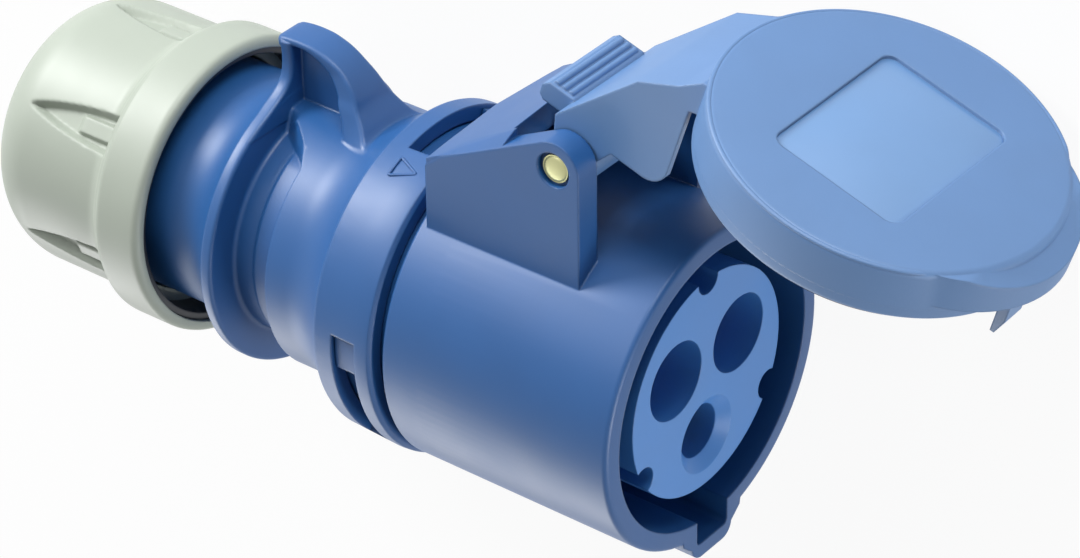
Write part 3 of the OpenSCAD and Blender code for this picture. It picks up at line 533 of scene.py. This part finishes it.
def barrel_surface(size):
    """The turned outside of the rear housing, with the barrel's rear edge drawn back round the hook, and its bore.
    Rows follow the profile, columns go round the axis; radius(row, a) = floor(row) + (barrel - floor(row)) S(d),
    with S a smooth step over the distance d from the curved edge."""
    columns = 540
    a = np.linspace(-180, 180, columns, endpoint=False)
    shift = barrel_edge_shift(a)
    face, groove, barrel = size.flange_at, size.groove, size.barrel
    edge = np.minimum(size.barrel_edge + shift, face - 1.6)
    slope = np.gradient(edge, np.radians(a) * barrel)
    # the floor of the groove rises to the barrel right under the hook
    raised = groove + (barrel - groove) * step_up(-np.abs(a), -17, -9.5)
    rows = []

    def floor(back):
        """The groove's floor: it steps down by 0.4 mm short of the flange, away from the hook."""
        return raised + 0.4 * step_up(-back, 4.0 - face, 4.6 - face) * step_up(np.abs(a), 22, 34)

    def row(back, radius):
        rows.append(np.stack([np.broadcast_to(-back, a.shape), np.broadcast_to(radius, a.shape)], -1))

    for back, radius in ((55.2, 27.44), (55.6, 27.47), (56.0, 27.3), (56.3, 26.95), (56.42, 26.5), (56.6, 26.15)):
        row(back, radius)
    flare = np.linspace(56.9, edge - 1.4, 22)
    for back in flare:
        row(back, barrel + 3.75 * np.clip(1 - (back - 56.6) / 9.4, 0, 1) ** 2)
    for off in np.linspace(-1.3, 1.9, 30):
        back = np.minimum(edge + off, face - 1.0 + 0.02 * off)
        across = (back - edge) / np.sqrt(1 + slope ** 2)
        soft = 0.55 + 0.75 * step_up(shift, 0.2, 4.0)
        row(back, floor(back) + (barrel - floor(back)) * (1 - step_up(across, -soft, soft * 1.15)))
    fillet, corner, tall = 0.7, 0.55, 4.95
    rear = face - fillet
    for back in np.linspace(np.minimum(edge + 2.0, face - 0.95), rear, 26):
        row(back, floor(back))
    # the flange's section, tall being its height over the groove before it is scaled to the flange
    profile = np.vstack([arc((rear, fillet), fillet, -90, 0, 8)[1:],
                         arc((face + corner, tall - corner), corner, 180, 90, 6),
                         arc((face + size.flange_wide - corner, tall - corner), corner, 90, 0, 6)])
    for back, height in profile:
        row(back, raised + height / tall * (size.flange - raised))
    wide = face + size.flange_wide
    for t in np.linspace(1, 0, 14):
        row(wide + 0.05 + 8.2 * (1 - t), 19.92 + 3.3 * t ** 2.2)
    for back, radius in ((98, 19.9), (107.4, 19.9), (108, 19.3), (108, 15.9), (73, 15.9), (69.4, 19.6), (59, 19.6),
                         (59, 21.6), (55.6, 21.6), (55.2, 22.0)):
        row(back, radius)
    grid = np.stack(rows)
    angle = np.radians(a)
    points = np.stack([grid[..., 0] + RIM, grid[..., 1] * np.cos(angle), grid[..., 1] * np.sin(angle)], -1)
    return points.reshape(-1, 3), grid_faces(len(rows), columns, True, True).tolist()


def hook_band(size):
    """The band of the thumb hook: a rounded box swept from the foot to the tip, its outer and inner edges two
    arcs, its half width growing towards the foot."""
    outer = np.vstack([[(-60.2, 21.9), (-62.2, 22.7), (-63.6, 24.4)], arc((-77.2, 20.9), 13.2, 24, 84, 9),
                       [(-78.6, 34.1), (-81.2, 33.9), (-82.3, 33.6)]])
    inner = np.vstack([[(-65.4, 18.6), (-66.9, 20.6), (-67.9, 23.2)], arc((-78.9, 23.0), 10.0, 18, 80, 9),
                       [(-79.2, 32.8), (-80.9, 32.2), (-82.1, 31.6)]])
    count = 64
    outer, inner = curve(outer, count), curve(inner, count)
    t = np.linspace(0, 1, count)
    half = size.hook_half + 0.5 * step_up(-t, -0.5, -0.3) + 4.6 * np.clip(1 - t / 0.36, 0, 1) ** 1.9
    half = half - 0.35 * step_up(t, 0.96, 1.0)
    rows = []
    for k in range(count):
        middle, reach = (outer[k] + inner[k]) / 2, np.linalg.norm(outer[k] - inner[k]) / 2
        towards = (outer[k] - inner[k]) / (2 * reach)
        section = rounded_box(reach, half[k], min(0.75, reach * 0.7))
        rows.append(np.stack([middle[0] + section[:, 0] * towards[0] + RIM, middle[1] + section[:, 0] * towards[1],
                              section[:, 1]], 1))
    return np.vstack(rows), capped(count, len(rows[0]))


def hook_wall(size):
    """The hook's rear wall, a rounded box that grows out of the flange: its half width leaves the flange's circle
    and narrows along a smooth curve to the hook's own width."""
    foot, top = 20.3, 33.3
    edge = curve([(14.0, foot), (11.9, 21.6), (10.0, 22.7), (8.1, 23.8), (6.3, 24.8), (4.7, 26.0), (3.7, 27.4),
                  (3.3, 29.2), (3.3, 31.2), (3.5, 33.4)], 80)
    heights = np.linspace(foot, top, 64)
    middle = size.flange_at + size.flange_wide / 2
    rows = []
    for y, half in zip(heights, np.interp(heights, edge[:, 1], edge[:, 0])):
        section = rounded_box(size.flange_wide / 2 + 0.05, half, 0.8)
        rows.append(np.stack([section[:, 0] - middle + RIM, np.full(len(section), y), section[:, 1]], 1))
    return np.vstack(rows), capped(len(heights), len(rows[0]))


def hook_web():
    """The thin web that fills the hook between its band and its rear wall."""
    outline = np.vstack([[(-68.0, 19.5)], arc((-78.9, 23.0), 10.5, 8, 88, 14), [(-79.8, 33.0), (-79.8, 19.5)]])
    points = np.vstack([np.c_[outline[:, 0] + RIM, outline[:, 1], np.full(len(outline), z)] for z in (-0.9, 0.9)])
    return points, capped(2, len(outline))


class CONNECTOR_OT_rear_housing(bpy.types.Operator):
    """Make the rear housing with its curved grip groove and filleted thumb hook"""
    bl_idname = "connector.rear_housing"
    bl_label = "Rear housing"

    def execute(self, context):
        size = context.scene.connector_sizes
        housing = bpy.data.materials["PA6 moulded, blue housing"]
        shell = object_of("rear_shell", *joined(barrel_surface(size), hook_band(size), hook_wall(size), hook_web()))
        outwards(shell)
        cover(shell, housing, "rear_group")
        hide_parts("rear_housing")
        # the collar with its windows keeps the solid's own shape
        collar = copy_of("rear_collar", "rear_housing")
        work = bmesh.new()
        work.from_mesh(collar.data)
        everything = work.verts[:] + work.edges[:] + work.faces[:]
        bmesh.ops.bisect_plane(work, geom=everything, plane_co=((RIM - COLLAR_REAR) * MM, 0, 0),
                               plane_no=(1, 0, 0), clear_inner=True)
        work.to_mesh(collar.data)
        work.free()
        cover(collar, housing, "rear_group")
        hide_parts("rear_housing")
        return {"FINISHED"}


class CONNECTOR_OT_collar_mark(bpy.types.Operator):
    """Make the raised triangle on the locking collar"""
    bl_idname = "connector.collar_mark"
    bl_label = "Collar mark"

    def execute(self, context):
        width = context.scene.connector_sizes.mark_line
        corners = np.array([(-52.0, 20.4), (-52.0, 28.0), (-47.7, 24.2)])
        radius = 27.75
        rounded = []
        for k in range(3):
            here, before, after = corners[k], corners[k - 1], corners[(k + 1) % 3]
            for t in np.linspace(0, 1, 5):
                rounded.append((1 - t) ** 2 * (here + (before - here) * 0.08) + 2 * t * (1 - t) * here
                               + t ** 2 * (here + (after - here) * 0.08))
        path = resample(rounded, 90, closed=True)
        a = np.radians(path[:, 1])
        normals = np.stack([np.zeros(len(a)), np.cos(a), np.sin(a)], 1)
        points = np.stack([path[:, 0] + RIM, radius * np.cos(a), radius * np.sin(a)], 1)
        mark = bead("collar_triangle", points, normals, width / 2, 0.22)
        cover(mark, bpy.data.materials["PA6 moulded, blue housing"], "rear_group")
        return {"FINISHED"}


class CONNECTOR_OT_lid_rim(bpy.types.Operator):
    """Make the lid with its tapered key, its rolled edge, the lower part of its skirt and its panel"""
    bl_idname = "connector.lid_rim"
    bl_label = "Lid rim"

    def execute(self, context):
        size = context.scene.connector_sizes
        lid = bpy.data.materials["PA6 moulded, blue lid, eroded grain"]
        shell = copy_of("lid_shell", "lid")
        places = np.array([v.co for v in shell.data.vertices]) / MM
        closed = opened(places, -LID_OPEN)
        # the key is all that lies behind its root and lower than key_below, and it gets narrower towards its tip
        root, tip, key_below = 4.85, -5.35, -20
        wide_at_root, taper = 1.3, 0.75
        along = np.clip((root - closed[:, 0]) / (root - tip), 0, 1)
        key = (closed[:, 0] < root - 0.05) & (closed[:, 1] < key_below)
        places[:, 2] = np.where(key, places[:, 2] * (wide_at_root - taper * along), places[:, 2])
        shell.data.vertices.foreach_set("co", (places * MM).ravel())
        cover(shell, lid, "lid_group")
        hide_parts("lid")

        # skirt: a closed profile turned about the axis, below the solid's own skirt
        profile = np.vstack([[(4.2, 26.79)], arc((2.6, 26.0), 0.8, 90, 180, 6), arc((2.6, 25.7), 0.8, 180, 270, 6),
                             [(4.2, 24.9)]])
        profile[:, 0] += RIM
        a = np.radians(np.linspace(0, 360, 240, endpoint=False))
        # the rolled edge sinks into the face where the thumb lip begins
        lip = step_up(np.abs(np.degrees(a) - 180), 40.0, 50.0)[None, :]
        turn = np.linspace(0, 2 * np.pi, 16, endpoint=False)[:, None]
        ring_x = 10.2 + 0.25 * lip + RIM
        ring_r = 26.0 + 0.35 * lip
        rolled = (ring_x + 0.32 * np.cos(turn) + 0 * a, ring_r + 0.42 * np.sin(turn) + 0 * a)
        skirt = (profile[:, :1] + 0 * a, profile[:, 1:] + 0 * a)
        for name, (x, r) in (("lid_skirt_edge", skirt), ("lid_rolled_edge", rolled)):
            points = np.stack([x, r * np.cos(a), r * np.sin(a)], -1).reshape(-1, 3)
            ring = object_of(name, opened(points), grid_faces(len(x), len(a), True, True))
            outwards(ring)
            cover(ring, lid, "lid_group")

        # panel: a rounded rectangle with a soft edge, on the floor of the solid's recess
        loops = []
        for rise, inset in ((-0.3, 0.05), (0.03, 0.05), (0.1, 0.2)):
            loop = rounded_box(size.panel_w / 2 - inset, size.panel_h / 2 - inset, 2.0 - inset)
            loops.append(np.stack([np.full(len(loop), size.panel_floor + rise), loop[:, 1], loop[:, 0]], 1))
        points = np.vstack(loops)
        panel = object_of("lid_panel", opened(points), capped(3, len(loops[0])))
        outwards(panel)
        cover(panel, bpy.data.materials["PA6 moulded, blue lid, polished panel with painted sheen"], "lid_group")
        return {"FINISHED"}


class CONNECTOR_OT_pin_ends(bpy.types.Operator):
    """Make the domed ends of the hinge pin"""
    bl_idname = "connector.pin_ends"
    bl_label = "Pin ends"

    def execute(self, context):
        low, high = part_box("hinge_pin")
        radius = (high[0] - low[0]) / 2 / MM
        centre = ((high[0] + low[0]) / 2 / MM, (high[1] + low[1]) / 2 / MM)
        end = high[2] / MM
        # a flat-topped dome: height 0.35 mm over the pin's end, turned about the pin's axis
        profile = np.array([(0.0, 0.35), (0.6, 0.34), (1.2, 0.29), (1.7, 0.18), (2.05, 0.03), (radius - 0.1, -0.2)])
        turns = 48
        a = np.linspace(0, 2 * np.pi, turns, endpoint=False)
        for side, name in ((1, "pin_end_upper"), (-1, "pin_end_lower")):
            r, h = profile[:, :1], profile[:, 1:]
            points = np.stack([centre[0] + r * np.cos(a), centre[1] + r * np.sin(a),
                               side * (end + h + 0 * a)], -1).reshape(-1, 3)
            dome = object_of(name, points, grid_faces(len(profile), turns, False, True))
            cover(dome, bpy.data.materials["Nickel brass pin, turned"], "connector_front")
        return {"FINISHED"}


class CONNECTOR_OT_stage(bpy.types.Operator):
    """Make the floor, the lamps and the camera"""
    bl_idname = "connector.stage"
    bl_label = "Stage"

    def execute(self, context):
        scene = context.scene
        half = scene.connector_sizes.floor_size / 2
        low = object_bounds()[0]
        gap = 0.05
        ground = low[2] / MM - gap
        floor = object_of("floor", [(-half, -half, ground), (half, -half, ground), (half, half, ground),
                                    (-half, half, ground)], [(0, 1, 2, 3)], smooth=False)
        material, tree = new_material("Painted board, white")
        matt = add(tree, "ShaderNodeBsdfDiffuse", None, {"Color": tuple(scene.connector_colours.floor) + (1.0,)})
        glow = add(tree, "ShaderNodeEmission", None, {"Strength": 1.0})
        share = add(tree, "ShaderNodeMath", {"operation": "MULTIPLY"}, {0: camera_or_glossy(tree), 1: FLOOR_GLOW})
        both = add(tree, "ShaderNodeMixShader", None,
                   {0: share.outputs[0], 1: matt.outputs[0], 2: glow.outputs[0]})
        add(tree, "ShaderNodeOutputMaterial", None, {"Surface": both.outputs[0]})
        floor.data.materials.append(material)
        floor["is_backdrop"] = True

        world = bpy.data.worlds.new("Tent")
        scene.world = world
        world.use_nodes = True
        tree = world.node_tree
        tree.nodes.clear()
        tent = add(tree, "ShaderNodeBackground", None, {"Color": (1, 1, 1, 1), "Strength": TENT})
        white = add(tree, "ShaderNodeBackground", None, {"Color": (1, 1, 1, 1), "Strength": 1.0})
        both = add(tree, "ShaderNodeMixShader", None,
                   {0: camera_or_glossy(tree), 1: tent.outputs[0], 2: white.outputs[0]})
        add(tree, "ShaderNodeOutputWorld", None, {"Surface": both.outputs[0]})

        # camera axes: right, up, and back towards the viewer
        right, up = (0.7918, -0.0107, -0.6106), (-0.3311, 0.8326, -0.4440)
        back = (0.5132, 0.5538, 0.6557)
        eye = (295.75, 359.5, 418.5)
        lens = bpy.data.cameras.new("camera")
        lens.sensor_fit = "HORIZONTAL"
        lens.sensor_width = 36
        lens.lens = 138.05
        lens.clip_start, lens.clip_end = 0.05, 20
        camera = bpy.data.objects.new("camera", lens)
        scene.collection.objects.link(camera)
        turn = Matrix((right, up, back)).transposed().to_4x4()
        camera.matrix_world = Matrix.Translation([v * MM for v in eye]) @ turn
        scene.camera = camera

        for name, place, side, power in LAMPS:
            light = bpy.data.lights.new(name, "AREA")
            light.shape, light.size, light.energy = "SQUARE", side, power
            lamp = bpy.data.objects.new(name, light)
            scene.collection.objects.link(lamp)
            aim = np.array(place) - np.array(LAMPS_LOOK_AT)
            aim = aim / np.linalg.norm(aim)
            sideways = np.cross((0, 0, 1), aim)
            sideways = sideways / np.linalg.norm(sideways)
            axes = Matrix((sideways, np.cross(aim, sideways), aim)).transposed().to_4x4()
            lamp.matrix_world = Matrix.Translation(place) @ axes
        scene.view_settings.view_transform = "Standard"
        return {"FINISHED"}


class CONNECTOR_PT_panel(bpy.types.Panel):
    """The connector's sizes, colours and steps"""
    bl_label = "Connector"
    bl_idname = "CONNECTOR_PT_panel"
    bl_space_type = "VIEW_3D"
    bl_region_type = "UI"
    bl_category = "Connector"

    def draw(self, context):
        for group in (context.scene.connector_sizes, context.scene.connector_colours):
            box = self.layout.box()
            for key in group.__annotations__:
                box.prop(group, key)
        for step in STEPS:
            self.layout.operator(step.bl_idname)


STEPS = (CONNECTOR_OT_finishes, CONNECTOR_OT_front_mouldings, CONNECTOR_OT_gland_nut, CONNECTOR_OT_rear_housing,
         CONNECTOR_OT_collar_mark, CONNECTOR_OT_lid_rim, CONNECTOR_OT_pin_ends, CONNECTOR_OT_stage)
CLASSES = (ConnectorSizes, ConnectorColours, *STEPS, CONNECTOR_PT_panel)


def register():
    for cls in CLASSES:
        bpy.utils.register_class(cls)
    bpy.types.Scene.connector_sizes = bpy.props.PointerProperty(type=ConnectorSizes)
    bpy.types.Scene.connector_colours = bpy.props.PointerProperty(type=ConnectorColours)


def unregister():
    del bpy.types.Scene.connector_colours
    del bpy.types.Scene.connector_sizes
    for cls in reversed(CLASSES):
        bpy.utils.unregister_class(cls)


def main():
    """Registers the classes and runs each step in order."""
    register()
    bpy.ops.connector.finishes()
    bpy.ops.connector.front_mouldings()
    bpy.ops.connector.gland_nut()
    bpy.ops.connector.rear_housing()
    bpy.ops.connector.collar_mark()
    bpy.ops.connector.lid_rim()
    bpy.ops.connector.pin_ends()
    bpy.ops.connector.stage()


if __name__ == "__main__":
    main()
